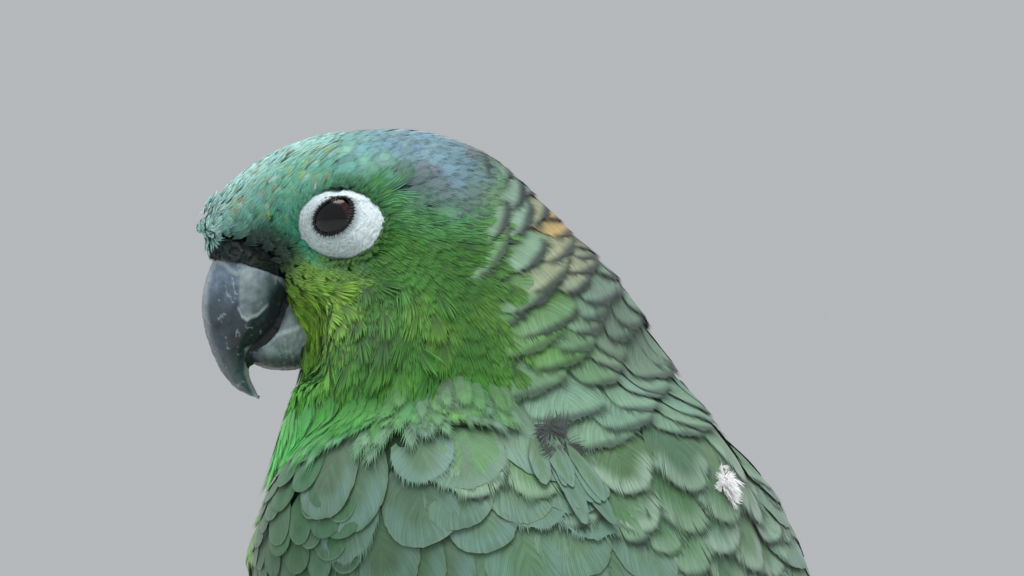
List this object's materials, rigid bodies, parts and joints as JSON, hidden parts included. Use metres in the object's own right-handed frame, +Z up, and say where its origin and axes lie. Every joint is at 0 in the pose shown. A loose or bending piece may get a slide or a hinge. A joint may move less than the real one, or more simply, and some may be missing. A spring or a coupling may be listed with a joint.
{
  "type": "amazon parrot model",
  "caption": "Life-size still amazon parrot with folded wings, head turned over its left shoulder, gripping a short branch on a flat display stand.",
  "frame": {"origin": "centre of the display stand's underside", "axes": "+Z up, -Y the way the bird's breast faces, +X the bird's left"},
  "size_m": [0.2, 0.2112, 0.3312],
  "materials": {
    "face_plumage": "soft feathers, fine green barbs",
    "nape_plumage": "soft feathers with dark edges",
    "body_plumage": "powdery grey-green feathers",
    "wing_plumage": "smooth layered green feathers",
    "tail_plumage": "smooth green feathers, yellow-green towards the tips",
    "horn": "worn slate-grey horn, satin",
    "cere_skin": "dark bare skin with short bristles",
    "eye_ring_skin": "bare white skin, finely wrinkled",
    "eye": "wet gloss, dark brown-red iris",
    "foot_skin": "dry grey scaled skin",
    "claw_horn": "dark horn, satin",
    "bark": "rough grey-brown bark, sawn ends",
    "rod_steel": "brushed stainless rod",
    "base_wood": "oiled dark walnut, bevelled edge"
  },
  "bodies": {
    "root": {"trunk": "body_plumage", "neck": "nape_plumage", "head": "face_plumage", "cere": "cere_skin", "bill_upper": "horn", "bill_lower": "horn", "tail_middle": "tail_plumage", "eye_left": "eye", "eye_ring_left": "eye_ring_skin", "tail_left": "tail_plumage", "wing_left_coverts": "wing_plumage", "wing_left_secondaries": "wing_plumage", "wing_left_primaries": "wing_plumage", "thigh_left": "body_plumage", "tarsus_left": "foot_skin", "toe_1_left": "foot_skin", "claw_1_left": "claw_horn", "toe_2_left": "foot_skin", "claw_2_left": "claw_horn", "toe_3_left": "foot_skin", "claw_3_left": "claw_horn", "toe_4_left": "foot_skin", "claw_4_left": "claw_horn", "eye_right": "eye", "eye_ring_right": "eye_ring_skin", "tail_right": "tail_plumage", "wing_right_coverts": "wing_plumage", "wing_right_secondaries": "wing_plumage", "wing_right_primaries": "wing_plumage", "thigh_right": "body_plumage", "tarsus_right": "foot_skin", "toe_1_right": "foot_skin", "claw_1_right": "claw_horn", "toe_2_right": "foot_skin", "claw_2_right": "claw_horn", "toe_3_right": "foot_skin", "claw_3_right": "claw_horn", "toe_4_right": "foot_skin", "claw_4_right": "claw_horn", "perch": "bark", "stand_rod_left": "rod_steel", "stand_rod_right": "rod_steel", "stand_base": "base_wood"}
  },
  "joints": []
}
